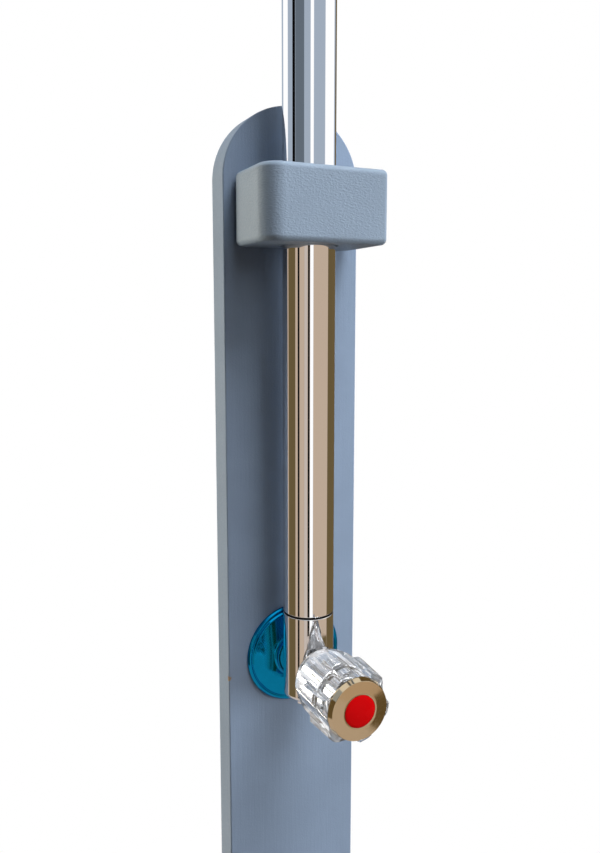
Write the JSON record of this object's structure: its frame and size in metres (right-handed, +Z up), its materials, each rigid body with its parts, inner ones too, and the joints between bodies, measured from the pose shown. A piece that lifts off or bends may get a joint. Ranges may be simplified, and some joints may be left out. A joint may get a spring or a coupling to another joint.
{
  "type": "outdoor shower post",
  "caption": "Upright painted plank with a half-round top, carrying a chrome riser, a front tap with a fluted clear handle on a blue flange, and a swan neck with a round rose.",
  "frame": {"origin": "centre of the plank's bottom end face, on the ground", "axes": "+Z up along the plank and riser, -Y out of the plank's front towards the user, +X to the user's right when facing the tap"},
  "size_m": [0.12, 0.3115, 2.091],
  "materials": {
    "painted_wood": "satin blue-grey paint on planed softwood",
    "chrome": "polished chrome plate",
    "blue_anodised": "bright blue anodised sheet",
    "clear_acrylic": "moulded clear acrylic",
    "red_plastic": "gloss red",
    "brass": "turned brass",
    "steel": "stainless steel",
    "black_rubber": "nitrile rubber",
    "grey_rubber": "silicone rubber",
    "nylon": "natural nylon",
    "fibre": "vulcanised fibre",
    "ceramic": "lapped alumina ceramic"
  },
  "bodies": {
    "post": {"board": "painted_wood", "wall_inserts": "brass", "clamp_block": "painted_wood", "block_screws": "steel", "clamp_bush": "nylon", "riser_tube": "chrome", "joint_ring": "black_rubber", "spigot_rings": "black_rubber", "valve_body": "chrome", "body_plug": "chrome", "flange": "blue_anodised", "flange_seal": "black_rubber", "inlet_tail": "brass", "tail_washer": "fibre", "back_washer": "steel", "back_nut": "brass", "cartridge": "brass", "seat_ring": "black_rubber", "fixed_disc": "ceramic", "collar": "chrome", "collar_ring": "black_rubber", "collar_screw": "steel"},
    "handle": {"turning_disc": "ceramic", "spindle": "brass", "stem_rings": "black_rubber", "spindle_clip": "steel", "handle_knob": "clear_acrylic", "handle_bush": "nylon", "handle_screw": "steel", "handle_cap": "chrome", "index_disc": "red_plastic"},
    "neck": {"swan_neck": "chrome", "ball_stud": "chrome"},
    "cup": {"ball_cup": "nylon"},
    "rose": {"ball_socket": "chrome", "rose_shell": "chrome", "rose_gasket": "black_rubber", "rose_face": "chrome", "rose_nozzles": "grey_rubber", "strainer": "steel"}
  },
  "joints": [
    {"name": "handle_turn", "type": "hinge", "parent": "post", "child": "handle", "pos_m": [0, -0.037, 1.05], "axis": [0, -1, 0], "range_deg": [0, 90]},
    {"name": "neck_swivel", "type": "hinge", "parent": "post", "child": "neck", "pos_m": [0, -0.037, 1.93], "axis": [0, 0, 1], "range_deg": [-75, 75]},
    {"name": "rose_tilt", "type": "hinge", "parent": "neck", "child": "cup", "pos_m": [0, -0.21521, 1.98742], "axis": [1, 0, 0], "range_deg": [-15, 15]},
    {"name": "rose_lean", "type": "hinge", "parent": "cup", "child": "rose", "pos_m": [0, -0.21521, 1.98742], "axis": [0, 0.9397, -0.342], "range_deg": [-15, 15]}
  ]
}
